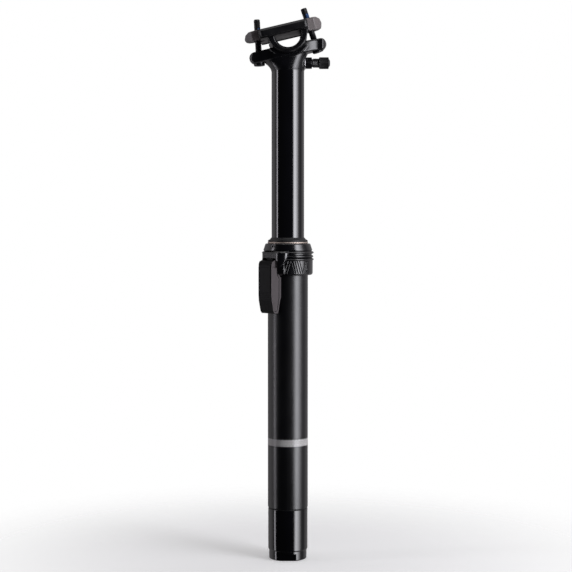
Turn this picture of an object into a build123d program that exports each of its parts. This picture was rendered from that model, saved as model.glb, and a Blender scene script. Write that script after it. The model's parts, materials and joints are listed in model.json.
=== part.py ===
from build123d import *
from math import atan2, cos, degrees, hypot, pi, radians, sin
import os

# Telescopic suspension seatpost, built as separate pieces.
#
# Millimetres. +Z runs up the tube axis, +X points to the rear of the bicycle and -Y to its left side.
# The origin is the centre of the flat lower end. The saddle clamp is drawn in its own tilted frame.
#
# From the outside in: a fixed outer tube with a bottom cap and a top collar; a rod standing on the cap;
# a locking cartridge that slides on the rod (height adjustment); and a stanchion with the saddle head,
# which slides on the cartridge's air piston (suspension). A lever in the collar pushes a thin rod down
# a groove of the outer tube; a rocker in the bottom cap turns that into a lift of the release pin.

# ---------------------------------------------------------------- driving dimensions
POST_R = 15.45            # outer tube, 30.9 mm seat tubes
STANCHION_R = 12.5
RUN = 0.03                # radial running clearance of bushes, pistons and seals

# outer tube and bottom cap
TUBE_BORE_R = 13.2
CAP_TOP = 39.1            # seam between bottom cap and outer tube
CAP_R = 15.25
CAP_FOOT_R = 14.5
CAP_FOOT_H = 7.1
FLAT_HALF = 13.0          # half of the 26 mm across the wrench flats
FLAT_H = 5.3
CAP_FLOOR = 9.0
CAP_CAVITY_R = 11.5
SPIGOT_R = 14.0
SPIGOT_TOP = 48.0
SEAM_GAP = 0.8            # thickness of the seam's rubber ring
ROD_PLATE_TOP = 50.0
TUBE_TOP = 230.7
THREAD_R = 14.95          # top of the tube, inside the collar, from the collar's lower end up

# collar
COLLAR_BOTTOM = 219.7
COLLAR_TOP = 243.7
SKIRT_R = 19.15
RIB_R = 19.95
RIB_HEIGHTS = (236.8, 233.9, 231.6)
WIPER_SEAT_Z = 239.2
WIPER_R = 15.0
WIPER_RING_H = 1.15       # bright ring under the wiper's brim
COLLAR_BORE_R = 13.3
SCREW_AZIMUTH = 230.0
SLEEVE_R = 16.4           # collar wall left behind the lever
CUT_TOP = 232.9           # top of the recess in the skirt

# release lever, set round the left front corner
LEVER_AZIMUTH = 225.0
LEVER_W = 14.2
LEVER_OUT_R = 25.2
PIVOT_R = 17.2            # distance of the lever's pin from the tube axis
PIVOT_Z = 235.2
LEVER_DROP = 44.5         # from the pin down to the lever's tip
HUB_R = 2.5
HUB_W = 6.4
HOOD_R = 20.5
HOOD_W = 15.0
CAVITY_W = 11.0
PIN_R = 1.25

# release train
PUSH_ROD_R = 0.6
PUSH_AXIS_R = 13.9
TOE_UNDER_Z = PIVOT_Z - 1.2
ROCKER_Z = 20.0
ROCKER_PIVOT_R = 9.27
ROCKER_HALF = 1.5
RELEASE_PIN_R = 1.65

# cartridge
ROD_R = 4.0
ROD_BOTTOM = 26.0
ROD_TOP = 154.5
ROD_PISTON_TOP = 158.0
RELEASE_PIN_TOP = 153.5
CYLINDER_R = 8.5
CYLINDER_BORE_R = 7.25
CYLINDER_BOTTOM = 139.0
CYLINDER_TOP = 262.0
AIR_PISTON_TOP = 274.0

# stanchion
STANCHION_BORE_R = 10.5
STANCHION_BOTTOM = 176.0
AIR_CHAMBER_TOP = 362.0
TUBE_GROUND_TOP = 376.7   # end of the round ground surface
KEY_R = 1.2
KEY_AXIS_R = 12.85
KEY_AZIMUTHS = (45.0, 165.0, 285.0)

# saddle clamp
CRADLE_X = -0.5           # axis on which the saddle tilts
CRADLE_Z = 403.2
CRADLE_R = 15.2
CRADLE_W = 52.0
WINDOW_R = 9.6            # the bore of the half pipe, set lower than its outside
WINDOW_DROP = 2.2
CLAMP_TILT = 13.2
RAIL_SPACING = 44.0
RAIL_R = 3.5
RAIL_AXIS_H = -0.6        # rail axis above the tilt axis, in the clamp's frame
ARM_TILT = 11.8
ARM_R = 4.3
FRONT_ARM_END = (-25.15, 385.4)
REAR_ARM_END = (25.2, 396.0)
FRONT_SEAT = (-21.93, 383.3)    # centres of the half-round washers under the arms
FRONT_NUT = (-23.07, 402.53)
REAR_SEAT = (22.21, 393.45)
REAR_NUT = (16.2, 410.76)
BOLT_R = 2.5
BOLT_REACH = 31.6         # from washer centre to bolt end
BOLT_HEAD_R = 4.25
BOLT_HEAD_H = 5.0
WASHER_R = 4.2
WASHER_FLAT = 1.2         # height of the washer's flat side above its centre
NUT_R = 3.0
NUT_CLEAR = 0.1
NUT_HOLE_CLEAR = 0.35     # the bolts swing a little across the nuts as the clamp tilts
NUT_W = 12.0

# air valve
VALVE_Z = 381.8
VALVE_R = 3.85


# ---------------------------------------------------------------- helpers
def ring(outer, inner, bottom, top):
    """A tube section about the Z axis."""
    return cylinder(outer, bottom, top) - cylinder(inner, bottom - 1, top + 1)


def cylinder(radius, bottom, top):
    """An upright cylinder on the Z axis."""
    return Pos(0, 0, (bottom + top) / 2) * Cylinder(radius, top - bottom)


def turned(points):
    """A solid turned about the Z axis from a closed (radius, z) outline."""
    face = Plane.XZ * make_face(Polyline(*points, close=True))
    return revolve(face, Axis.Z, 360)


def side_block(outline, width):
    """A side outline in X and Z, as thick as width across Y."""
    return extrude(Plane.XZ * outline, width / 2, both=True)


def facing(azimuth):
    """A frame whose +X points away from the tube axis at that azimuth."""
    return Rot(0, 0, azimuth)


def across(radius, x, z, half_width, offset=0.0):
    """A cylinder along Y."""
    return Pos(x, offset, z) * Rot(90, 0, 0) * Cylinder(radius, 2 * half_width)


def bolt_frame(seat, nut):
    """A frame at a washer's centre with +Z along the bolt towards its nut."""
    lean = degrees(atan2(nut[0] - seat[0], nut[1] - seat[1]))
    return Pos(seat[0], 0, seat[1]) * Rot(0, lean, 0)


def nut_distance(seat, nut):
    return hypot(nut[0] - seat[0], nut[1] - seat[1])


CLAMP = Pos(CRADLE_X, 0, CRADLE_Z) * Rot(0, -CLAMP_TILT, 0)
LEVER = facing(LEVER_AZIMUTH)
LEVER_PIVOT = LEVER * Pos(0, 0, PIVOT_Z)


# ---------------------------------------------------------------- fixed outer assembly
def outer_tube():
    body = ring(POST_R, TUBE_BORE_R, CAP_TOP + SEAM_GAP, TUBE_TOP)
    body -= ring(POST_R + 1, THREAD_R, COLLAR_BOTTOM, TUBE_TOP + 1)
    body -= cylinder(SPIGOT_R, CAP_TOP, ROD_PLATE_TOP)
    for azimuth in KEY_AZIMUTHS:
        groove = Pos(KEY_AXIS_R, 0, (55 + TUBE_TOP) / 2) * Cylinder(KEY_R + 0.05, TUBE_TOP - 55 + 2)
        body -= facing(azimuth) * groove
    channel = Pos(PUSH_AXIS_R, 0, (CAP_TOP + TUBE_TOP) / 2) * Cylinder(PUSH_ROD_R + 0.1, TUBE_TOP)
    slot = Pos(TUBE_BORE_R, 0, (CAP_TOP + TUBE_TOP) / 2) * Box(1.4, 1.4, TUBE_TOP)
    return body - LEVER * (channel + slot)


def bottom_cap():
    body = turned([
        (0, 0), (CAP_FOOT_R - 0.8, 0), (CAP_FOOT_R, 0.8), (CAP_FOOT_R, CAP_FOOT_H),
        (CAP_R - 0.4, CAP_FOOT_H), (CAP_R, CAP_FOOT_H + 0.5), (CAP_R, CAP_TOP - 0.3), (CAP_R - 0.3, CAP_TOP),
        (SPIGOT_R, CAP_TOP), (SPIGOT_R, SPIGOT_TOP), (CAP_CAVITY_R, SPIGOT_TOP),
        (CAP_CAVITY_R, CAP_FLOOR), (0, CAP_FLOOR),
    ])
    for side in (-1, 1):
        body -= Pos(0, side * (FLAT_HALF + 5), FLAT_H / 2 - 5) * Box(40, 10, FLAT_H + 10)
    # channel for the push rod, room for the rocker's outer end, and two ears for the rocker's pin
    channel_top = SPIGOT_TOP + 1
    channel_bottom = ROCKER_Z - 3.4
    channel = Pos(0, 0, (channel_top + channel_bottom) / 2) * Box(
        2 * (PUSH_AXIS_R + 0.7), 3.6, channel_top - channel_bottom)
    channel &= Pos(10, 0, 30) * Box(20, 10, 100)
    body -= LEVER * channel
    for side in (-1, 1):
        ear = Pos(ROCKER_PIVOT_R, side * 3.2, (CAP_FLOOR + ROCKER_Z + 3) / 2)
        ear = ear * Box(5, 2.4, ROCKER_Z + 3 - CAP_FLOOR)
        body += LEVER * (ear & cylinder(CAP_CAVITY_R + 0.5, 0, 60))
    return body - LEVER * across(1.0, ROCKER_PIVOT_R, ROCKER_Z, 4.4)


def seam_ring():
    notch = LEVER * Pos(PUSH_AXIS_R, 0, CAP_TOP) * Cylinder(PUSH_ROD_R + 0.15, 4)
    return ring(CAP_R - 0.35, SPIGOT_R, CAP_TOP, CAP_TOP + SEAM_GAP) - notch


def rod_plate():
    """The disc that closes the cap and holds the rod."""
    disc = turned([
        (ROD_R, 44), (CAP_CAVITY_R, 44), (CAP_CAVITY_R, SPIGOT_TOP), (TUBE_BORE_R, SPIGOT_TOP),
        (TUBE_BORE_R, ROD_PLATE_TOP), (ROD_R, ROD_PLATE_TOP),
    ])
    return disc - LEVER * (Pos(PUSH_AXIS_R, 0, 47) * Box(4.6, 2.4, 10))


def cartridge_rod():
    return ring(ROD_R, RELEASE_PIN_R + 0.05, ROD_BOTTOM, ROD_TOP)


def rod_nut():
    hexagon = Pos(0, 0, 39.5) * extrude(RegularPolygon(6.5, 6, major_radius=False), 4.4)
    return hexagon - cylinder(ROD_R, 30, 50)


def rod_piston():
    body = cylinder(CYLINDER_BORE_R - RUN, 150, ROD_PISTON_TOP) - cylinder(ROD_R, 149, ROD_TOP)
    for azimuth in range(0, 360, 60):
        body -= facing(azimuth) * Pos(5.6, 0, 155) * Cylinder(0.8, 12)
    return body - cylinder(RELEASE_PIN_R + 0.05, 150, ROD_PISTON_TOP - 1.2)


def bottom_bumper():
    body = ring(7.0, ROD_R + 0.3, ROD_PLATE_TOP, ROD_PLATE_TOP + 3.4)
    return fillet(body.edges().group_by(Axis.Z)[-1], 0.9)


def rocker_pin():
    return LEVER * across(1.0, ROCKER_PIVOT_R, ROCKER_Z, 4.4)


def collar_profile():
    """Outer profile from the bottom up, with three thin ribs below a tapered top band."""
    low = COLLAR_BOTTOM
    points = [(SKIRT_R - 1.1, low), (SKIRT_R, low + 1.6), (SKIRT_R + 0.1, low + 10.3)]
    for height in reversed(RIB_HEIGHTS):
        points += [(SKIRT_R + 0.05, height - 0.85), (RIB_R, height), (SKIRT_R - 0.05, height + 0.85)]
    points += [(18.6, COLLAR_TOP - 5.5), (18.8, COLLAR_TOP - 5.0), (17.75, COLLAR_TOP - 0.4), (17.3, COLLAR_TOP)]
    return points


def hood():
    """The smooth boss over the lever's hub, in heights from the lever's pin."""
    outline = [(12, -4.1), (HOOD_R - 1.1, -4.1), (HOOD_R, -2.9), (HOOD_R, 0.7), (HOOD_R - 1.1, 2.9), (18.0, 4.1),
               (12, 4.1)]
    block = side_block(make_face(Polyline(*outline, close=True)), HOOD_W)
    upright = block.edges().filter_by(lambda e: abs(e.center().Y) > HOOD_W / 2 - 0.5 and e.center().X > 18)
    return LEVER_PIVOT * fillet(upright, 2.4)


def collar():
    inner = [(WIPER_R, COLLAR_TOP), (WIPER_R, WIPER_SEAT_Z), (COLLAR_BORE_R, WIPER_SEAT_Z),
             (COLLAR_BORE_R, TUBE_TOP), (THREAD_R, TUBE_TOP), (THREAD_R, COLLAR_BOTTOM)]
    body = turned(collar_profile() + inner)
    body += hood() - cylinder(COLLAR_BORE_R + 2.2, COLLAR_BOTTOM, COLLAR_TOP)
    # recess for the lever's arm in the skirt, cavity for its hub, slot for its toe, hole for its pin
    cut_height = CUT_TOP - COLLAR_BOTTOM + 2
    skirt_cut = Pos(24, 0, CUT_TOP - cut_height / 2) * Box(24, LEVER_W + 0.9, cut_height)
    skirt_cut = fillet(skirt_cut.edges().filter_by(Axis.X).group_by(Axis.Z)[-1], 1.6)
    skirt_cut -= cylinder(SLEEVE_R, COLLAR_BOTTOM - 5, COLLAR_TOP)
    cavity = Pos(PIVOT_R, 0, PIVOT_Z - 0.5) * Box(6.0, CAVITY_W, 6.8)
    toe_slot = Pos(14.4, 0, PIVOT_Z - 1.35) * Box(3.4, 4.2, 7.3)
    pin_hole = across(PIN_R, PIVOT_R, PIVOT_Z, 12)
    body -= LEVER * (skirt_cut + cavity + toe_slot + pin_hole)
    return body - screw_frame() * Pos(0, 0, 3) * Cylinder(1.5, 10)


def screw_frame():
    """At the seat of the small screw in the collar's top band, +Z outwards."""
    return facing(SCREW_AZIMUTH) * Pos(WIPER_R + 0.1, 0, COLLAR_TOP - 2.0) * Rot(0, 90, 0)


def collar_screw():
    body = Pos(0, 0, 1.5) * Cylinder(1.5, 3.0)
    body -= Pos(0, 0, 1.6) * extrude(RegularPolygon(0.75, 6, major_radius=False), 4)
    return screw_frame() * body


def upper_bush():
    return ring(TUBE_BORE_R, STANCHION_R + RUN, TUBE_TOP - 17, TUBE_TOP - 1)


def wiper_seal():
    lip_r = STANCHION_R + RUN
    seat, brim = WIPER_SEAT_Z + 0.1, COLLAR_TOP + 0.1
    return turned([
        (lip_r, seat), (WIPER_R, seat), (WIPER_R, brim), (13.5, brim), (13.5, brim + WIPER_RING_H + 0.1),
        (15.4, brim + WIPER_RING_H + 0.1), (15.4, brim + 2.5), (12.9, brim + 4.5), (lip_r, brim + 4.5),
    ])


def wiper_ring():
    brim = COLLAR_TOP + 0.1
    outer_edges = ring(15.6, 13.5, brim, brim + WIPER_RING_H).edges().filter_by(GeomType.CIRCLE)
    return fillet(outer_edges.filter_by(lambda e: e.radius > 15), 0.3)


def lever_pin():
    return LEVER * across(PIN_R, PIVOT_R, PIVOT_Z, HOOD_W / 2 - 0.3)


def lever_spring():
    """A torsion spring round the pin, beside the hub, with one leg on the cavity's roof."""
    wire, coil_r, pitch, turns = 0.35, 1.75, 0.75, 2
    path = Helix(pitch, pitch * turns, coil_r)
    section = Plane(path @ 0, z_dir=path % 0) * Circle(wire)
    coil = sweep(section, path)
    leg = Pos(coil_r, 0, 0) * Rot(90, 0, 0) * Pos(0, 0, 0.8) * Cylinder(wire, 1.6)
    return LEVER * (Pos(PIVOT_R, 5.1, PIVOT_Z) * Rot(90, 0, 0) * (coil + leg))


# ---------------------------------------------------------------- release train
def release_lever():
    """The lever, in distances from the tube axis and heights from its pin."""
    outline = make_face(Polyline(
        (14.8, -6.9), (19.3, -4.1), (21.2, -3.9), (23.6, -4.9), (25.0, -7.3), (LEVER_OUT_R, -9.5),
        (LEVER_OUT_R, -28.0), (24.5, -34.5), (22.6, -42.9), (21.2, -LEVER_DROP), (17.6, -LEVER_DROP),
        (16.7, -41.5), (15.0, -33.5), (11, -27.5), (11, -6.9), close=True))
    body = side_block(outline, LEVER_W)
    # the back is hollow and follows the tube; higher up it clears the collar's sleeve
    body -= cylinder(POST_R + 0.6, -LEVER_DROP - 5, 5)
    body -= cylinder(SLEEVE_R + 0.6, COLLAR_BOTTOM - 1.2 - PIVOT_Z, 5)
    body -= Pos(12.2, 0, -28.5) * Box(20, LEVER_W - 4.4, 28)
    for side in (-1, 1):
        panel = make_face(Polyline(
            (18.2, -9.0), (23.4, -9.0), (24.1, -11.0), (24.1, -27.9), (23.3, -34.1), (21.8, -41.7),
            (21.2, -42.9), (18.8, -42.9), (17.9, -40.5), (16.4, -31.5), (16.4, -17.5), (18.2, -15.5), close=True))
        body -= Pos(0, side * (LEVER_W / 2 + 0.1), 0) * side_block(panel, 1.0)
    neck_outline = [(PIVOT_R - 1.6, -0.5), (PIVOT_R + 1.9, -0.5), (19.6, -5.1), (PIVOT_R, -7.0)]
    toe_under = TOE_UNDER_Z - PIVOT_Z
    toe_outline = [(13.3, toe_under), (13.3, 0.9), (PIVOT_R, 1.4), (PIVOT_R, toe_under)]
    neck = make_face(Polyline(*neck_outline, close=True))
    toe = make_face(Polyline(*toe_outline, close=True))
    body += side_block(neck, HUB_W) + across(HUB_R, PIVOT_R, 0, HUB_W / 2) + side_block(toe, 3.4)
    body -= across(PIN_R + 0.05, PIVOT_R, 0, 20)
    corner = body.edges().filter_by(Axis.Z).filter_by(lambda e: e.center().X > LEVER_OUT_R - 0.1)
    return LEVER_PIVOT * fillet(corner, 1.0)


def push_rod():
    bottom = ROCKER_Z + ROCKER_HALF
    rod = Cylinder(PUSH_ROD_R, TOE_UNDER_Z - bottom)
    return LEVER * Pos(PUSH_AXIS_R, 0, (bottom + TOE_UNDER_Z) / 2) * rod


def release_rocker():
    bar = Pos((14.4 - 2.2) / 2, 0, ROCKER_Z) * Box(14.4 + 2.2, 3.0, 2 * ROCKER_HALF)
    boss = across(2.6, ROCKER_PIVOT_R, ROCKER_Z - 0.6, 1.5)
    return LEVER * (bar + boss - across(1.05, ROCKER_PIVOT_R, ROCKER_Z, 3))


def release_pin():
    return cylinder(RELEASE_PIN_R, ROCKER_Z + ROCKER_HALF, RELEASE_PIN_TOP)


# ---------------------------------------------------------------- cartridge
def cartridge_cylinder():
    return ring(CYLINDER_R, CYLINDER_BORE_R, CYLINDER_BOTTOM + 2, CYLINDER_TOP)


def rod_gland():
    body = cylinder(CYLINDER_R, CYLINDER_BOTTOM, CYLINDER_BOTTOM + 2)
    body += cylinder(CYLINDER_BORE_R, CYLINDER_BOTTOM + 2, 149)
    return body - cylinder(ROD_R + RUN, 130, 160) - cylinder(5.6, 143, 146)


def rod_seal():
    return ring(5.6, ROD_R + RUN, 143, 146)


def air_piston():
    body = cylinder(CYLINDER_BORE_R, 254, CYLINDER_TOP) + cylinder(
        STANCHION_BORE_R - RUN, CYLINDER_TOP, AIR_PISTON_TOP)
    body -= ring(STANCHION_BORE_R + 1, 8.9, 266, 269)
    return chamfer(body.edges().group_by(Axis.Z)[-1], 0.8)


def air_piston_ring():
    return ring(STANCHION_BORE_R - 0.01, 8.9, 266, 269)


def top_out_spacer():
    return ring(10.2, CYLINDER_R + 0.1, 186.7, CYLINDER_TOP)


def floating_piston():
    body = cylinder(CYLINDER_BORE_R - RUN, 219, 225) - cylinder(5.0, 221.5, 226)
    return body - ring(CYLINDER_BORE_R + 1, 6.0, 221, 223)


def floating_piston_ring():
    return ring(CYLINDER_BORE_R - 0.01, 6.0, 221, 223)


# ---------------------------------------------------------------- stanchion and head
def arm_outline():
    """Side outline of both arms: two round ends joined by straight top and bottom lines."""
    (fx, fz), (rx, rz) = FRONT_ARM_END, REAR_ARM_END
    lean = atan2(rz - fz, rx - fx)
    nx, nz = -sin(lean) * ARM_R, cos(lean) * ARM_R
    corners = [(fx + nx, fz + nz), (rx + nx, rz + nz), (rx - nx, rz - nz), (fx - nx, fz - nz)]
    bar = make_face(Polyline(*corners, close=True))
    return bar + Pos(fx, fz) * Circle(ARM_R) + Pos(rx, rz) * Circle(ARM_R)


def arm_plan():
    """Top outline: a wide middle under the cradle, from which both arms taper to round ends."""
    half = [(0.0, 13.2), (6.0, 12.8), (12.0, 11.2), (18.0, 9.2), (24.0, 7.1), (28.2, 5.0), (30.1, 2.4)]
    top = [(-30.5, 0)] + [(-x, y) for x, y in reversed(half)] + half[1:] + [(30.5, 0)]
    upper = Spline(*top, tangents=[(0, 1), (0, -1)])
    lower = Spline(*[(x, -y) for x, y in top], tangents=[(0, -1), (0, 1)])
    return make_face([upper, lower])


def saddle_block():
    """The cheeks that carry the cradle, with short lips beside it."""
    disc = Pos(CRADLE_X, CRADLE_Z) * Circle(CRADLE_R + 2.6)
    below = Pos(0, CRADLE_Z - 8.7 - 20) * Rot(0, 0, ARM_TILT) * Rectangle(60, 40)
    core = Pos(0, CRADLE_Z - 19) * Rectangle(60, 20)
    return side_block((disc & below & core), 25.0)


def stanchion():
    arms = side_block(arm_outline(), 40) & extrude(Pos(0, 0, 360) * arm_plan(), 60)
    arms = fillet(arms.edges().filter_by(lambda e: e.length > 8), 1.6)
    body = arms + saddle_block() + neck()
    body += cylinder(STANCHION_R, STANCHION_BOTTOM, TUBE_GROUND_TOP)
    body += Pos(9.4, 0, VALVE_Z) * Rot(0, 90, 0) * Cylinder(5.6, 7.0)
    body -= across(CRADLE_R + 0.05, CRADLE_X, CRADLE_Z, 20)
    body -= cylinder(STANCHION_BORE_R, STANCHION_BOTTOM - 1, AIR_CHAMBER_TOP)
    for seat, nut in ((FRONT_SEAT, FRONT_NUT), (REAR_SEAT, REAR_NUT)):
        body -= bolt_room(seat, nut)
    body -= valve_bore()
    for azimuth in KEY_AZIMUTHS:
        body -= facing(azimuth) * Pos(KEY_AXIS_R, 0, 198) * Cylinder(KEY_R, 12)
    return body


def neck_section(height, front, rear, half, power):
    """A rounded cross-section that reaches front and rear along X and half to each side."""
    points = []
    for step in range(16):
        turn = 2 * pi * (step + 0.5) / 16
        c, s = cos(turn), sin(turn)
        reach = rear if c > 0 else front
        side = half if s > 0 else -half
        points.append((reach * abs(c) ** (2 / power), side * abs(s) ** (2 / power)))
    return Pos(0, 0, height) * make_face(Spline(*points, periodic=True))


def neck():
    """The forged neck, which flares from the round tube into the underside of the front arm."""
    return loft([
        neck_section(TUBE_GROUND_TOP - 2.4, -12.45, 12.45, 12.45, 2.0),
        neck_section(TUBE_GROUND_TOP + 0.5, -13.2, 12.35, 12.2, 2.0),
        neck_section(TUBE_GROUND_TOP + 3.8, -16.0, 12.5, 11.8, 2.1),
        neck_section(TUBE_GROUND_TOP + 7.3, -20.5, 13.2, 11.7, 2.3),
        neck_section(TUBE_GROUND_TOP + 12.2, -19.0, 15.4, 12.2, 2.6),
    ])


def bolt_room(seat, nut):
    """Clearance in an arm for a bolt's shank, its half-round washer and its head."""
    shank = Pos(0, 0, 10) * Cylinder(BOLT_R + 0.5, 24)
    washer = across(WASHER_R + 0.05, 0, 0, 5.1)
    head = Pos(0, 0, WASHER_FLAT + 0.1 - 8) * Cylinder(BOLT_HEAD_R + 0.55, 16)
    return bolt_frame(seat, nut) * (shank + washer + head)


def valve_bore():
    """Threaded seat of the air valve and the passage down into the air chamber."""
    along = Rot(0, 90, 0)
    bore = Pos(8.4, 0, VALVE_Z) * along * Cylinder(VALVE_R, 12)
    seat = Pos(13.4, 0, VALVE_Z) * along * Cylinder(5.0, 3.0)
    passage = Pos(0, 0, (AIR_CHAMBER_TOP + VALVE_Z) / 2) * Cylinder(1.5, VALVE_Z - AIR_CHAMBER_TOP)
    return bore + seat + passage + Pos(1.5, 0, VALVE_Z) * along * Cylinder(1.5, 3.5)


def lower_bush():
    return ring(TUBE_BORE_R - RUN, STANCHION_R, 178, 190)


def guide_keys():
    return [facing(a) * Pos(KEY_AXIS_R, 0, 198) * Cylinder(KEY_R, 12) for a in KEY_AZIMUTHS]


def stanchion_nut():
    return ring(STANCHION_BORE_R, CYLINDER_R + 0.2, STANCHION_BOTTOM, 184)


def top_out_bumper():
    return ring(10.3, CYLINDER_R + 0.4, 184, 186.6)


# ---------------------------------------------------------------- air valve
def valve_seat_ring():
    """Bright washer in the head's spot face."""
    return Pos(12.7, 0, VALVE_Z) * Rot(0, 90, 0) * (Cylinder(5.0, 1.6) - Cylinder(VALVE_R, 5))


def valve_seal():
    return Pos(5.0, 0, VALVE_Z) * Rot(0, 90, 0) * (Cylinder(VALVE_R, 1.4) - Cylinder(2.2, 3))


def valve_body():
    along = Rot(0, 90, 0)
    body = Pos(9.6, 0, VALVE_Z) * along * Cylinder(VALVE_R, 7.8)
    body += Pos(13.5, 0, VALVE_Z) * Rot(0, 90, 0) * extrude(
        RegularPolygon(4.2, 6, major_radius=False, rotation=30), 4.9)
    body += Pos(23.4, 0, VALVE_Z) * along * Cylinder(3.6, 10.0)
    body -= Pos(18.9, 0, VALVE_Z) * along * (Cylinder(6, 0.8) - Cylinder(3.0, 2))
    return body - Pos(17, 0, VALVE_Z) * along * Cylinder(2.2, 30)


def valve_core():
    along = Rot(0, 90, 0)
    body = Pos(20.0, 0, VALVE_Z) * along * Cylinder(2.15, 14)
    return body - Pos(20.0, 0, VALVE_Z) * along * Cylinder(0.65, 20)


def valve_pin():
    along = Rot(0, 90, 0)
    shaft = Pos(19.5, 0, VALVE_Z) * along * Cylinder(0.5, 16.2)
    return shaft + Pos(10.8, 0, VALVE_Z) * along * Cylinder(1.6, 1.6)


def valve_cap():
    along = Rot(0, 90, 0)
    cap = Pos(27.6, 0, VALVE_Z) * along * Cylinder(4.5, 7.4)
    cap += Pos(31.8, 0, VALVE_Z) * along * Cone(3.0, 1.0, 1.1)
    return cap - Pos(26.2, 0, VALVE_Z) * along * Cylinder(3.6, 5.0)


# ---------------------------------------------------------------- saddle clamp
def rail_grooves():
    """Two saddle rails, in the clamp's frame."""
    rail = Rot(0, 90, 0) * Cylinder(RAIL_R, 90)
    left, right = (Pos(0, side * RAIL_SPACING / 2, RAIL_AXIS_H) * rail for side in (-1, 1))
    return left + right


def lower_cradle():
    """A half pipe with four horns that carry the rails."""
    horn_top, saddle_top = RAIL_AXIS_H - 0.8, -4.0
    body = across(CRADLE_R, 0, 0, CRADLE_W / 2) - Pos(0, 0, horn_top + 10) * Box(80, 80, 20)
    body -= Pos(0, 0, saddle_top + 10) * Box(80, 34, 20)
    body -= across(WINDOW_R, 0, -WINDOW_DROP, 40)
    for side in (-1, 1):
        dish = Pos(0, side * CRADLE_W / 2, -WINDOW_DROP) * Rot(-90 * side, 0, 0)
        body -= dish * Cone(WINDOW_R, WINDOW_R + 2.7, 3.4)
    return CLAMP * (body - rail_grooves())


def upper_clamp():
    """A plate with a round-roofed channel for each rail and a thick lug round each nut."""
    front, rear, underside = -20.9, 16.4, RAIL_AXIS_H + 0.4
    middle = (front + rear) / 2
    half_section = [(0, 7.4), (8.5, 7.4), (20.0, 5.6), (26.4, 4.8), (27.0, 4.2), (27.0, underside)]
    mirrored = [(-y, z) for y, z in reversed(half_section[1:])]
    section = Plane.YZ * make_face(Polyline(*half_section, *mirrored, close=True))
    wings = Pos(middle, 0, 0) * extrude(section, (rear - front) / 2, both=True)
    wings = fillet(wings.edges().filter_by(Axis.Z), 3.0)
    lug_side = make_face(Polyline(
        (-32.6, 3.4), (-31.4, 6.4), (-28.6, 8.1), (24.0, 8.1), (26.6, 6.4), (27.6, 3.0), (26.6, -0.6), (24.4, -1.4),
        (14.2, -1.4), (12.4, 0.4), (10.5, 1.6), (-16.5, 1.6), (-18.5, 0.7), (-29.6, 0.7), (-31.8, 1.6), close=True))
    half_plan = [(-32.5, 2.0), (-26.5, 7.4), (front, 8.5), (rear, 8.5), (22.0, 7.4), (27.9, 2.0)]
    mirrored_plan = [(x, -y) for x, y in reversed(half_plan)]
    plan = extrude(Pos(0, 0, -10) * make_face(Polyline(*half_plan, *mirrored_plan, close=True)), 30)
    body = wings + (side_block(lug_side, 17.0) & plan)
    body -= rail_grooves()
    for seat, nut in ((FRONT_SEAT, FRONT_NUT), (REAR_SEAT, REAR_NUT)):
        body -= CLAMP.inverse() * nut_room(seat, nut)
    return CLAMP * body


def nut_room(seat, nut):
    """A cross hole for the barrel nut, open on the right only, and a slot in which the bolt can lean."""
    hole = across(NUT_R + NUT_CLEAR, nut[0], nut[1], 13.3, offset=13.3 - NUT_W / 2 - 0.4)
    slot = Pos(nut[0], 0, nut[1]) * CLAMP_SLOT
    return hole + slot


CLAMP_SLOT = Rot(0, -CLAMP_TILT, 0) * extrude(Pos(0, 0, -15) * SlotOverall(9.0, 6.4), 30)


def bolt(seat, nut):
    shank_len = BOLT_REACH - WASHER_FLAT
    body = Pos(0, 0, BOLT_REACH - shank_len / 2) * Cylinder(BOLT_R, shank_len)
    body = chamfer(body.edges().group_by(Axis.Z)[-1], 0.5)
    head = Pos(0, 0, WASHER_FLAT - BOLT_HEAD_H / 2) * Cylinder(BOLT_HEAD_R, BOLT_HEAD_H)
    head = fillet(head.edges().group_by(Axis.Z)[0], 0.5)
    socket = Pos(0, 0, WASHER_FLAT - BOLT_HEAD_H - 1) * extrude(RegularPolygon(2.0, 6, major_radius=False), 4.0)
    return bolt_frame(seat, nut) * (body + head - socket)


def half_washer(seat, nut):
    body = across(WASHER_R, 0, 0, 5.0) - Pos(0, 0, WASHER_FLAT - 10) * Box(30, 30, 20)
    return bolt_frame(seat, nut) * (body - Cylinder(BOLT_R, 30))


def barrel_nut(seat, nut):
    at = Pos(0, 0, nut_distance(seat, nut))
    body = chamfer(across(NUT_R, 0, 0, NUT_W / 2).edges(), 0.4)
    return bolt_frame(seat, nut) * at * (body - Cylinder(BOLT_R + NUT_HOLE_CLEAR, 20))


# ---------------------------------------------------------------- write the pieces
PIECES = {
    "outer_tube": outer_tube, "bottom_cap": bottom_cap, "seam_ring": seam_ring, "rod_plate": rod_plate,
    "cartridge_rod": cartridge_rod, "rod_nut": rod_nut, "rod_piston": rod_piston, "bottom_bumper": bottom_bumper,
    "rocker_pin": rocker_pin, "collar": collar, "collar_screw": collar_screw, "upper_bush": upper_bush,
    "wiper_seal": wiper_seal, "wiper_ring": wiper_ring, "lever_pin": lever_pin, "lever_spring": lever_spring,
    "release_lever": release_lever, "push_rod": push_rod, "release_rocker": release_rocker,
    "release_pin": release_pin, "cartridge_cylinder": cartridge_cylinder, "rod_gland": rod_gland,
    "rod_seal": rod_seal, "air_piston": air_piston, "air_piston_ring": air_piston_ring,
    "top_out_spacer": top_out_spacer, "floating_piston": floating_piston,
    "floating_piston_ring": floating_piston_ring, "stanchion": stanchion, "lower_bush": lower_bush,
    "guide_keys": guide_keys, "stanchion_nut": stanchion_nut, "top_out_bumper": top_out_bumper,
    "valve_seat_ring": valve_seat_ring, "valve_seal": valve_seal, "valve_body": valve_body,
    "valve_core": valve_core, "valve_pin": valve_pin, "valve_cap": valve_cap,
    "lower_cradle": lower_cradle, "upper_clamp": upper_clamp,
}
BOLTS = {"front": (FRONT_SEAT, FRONT_NUT), "rear": (REAR_SEAT, REAR_NUT)}
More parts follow.
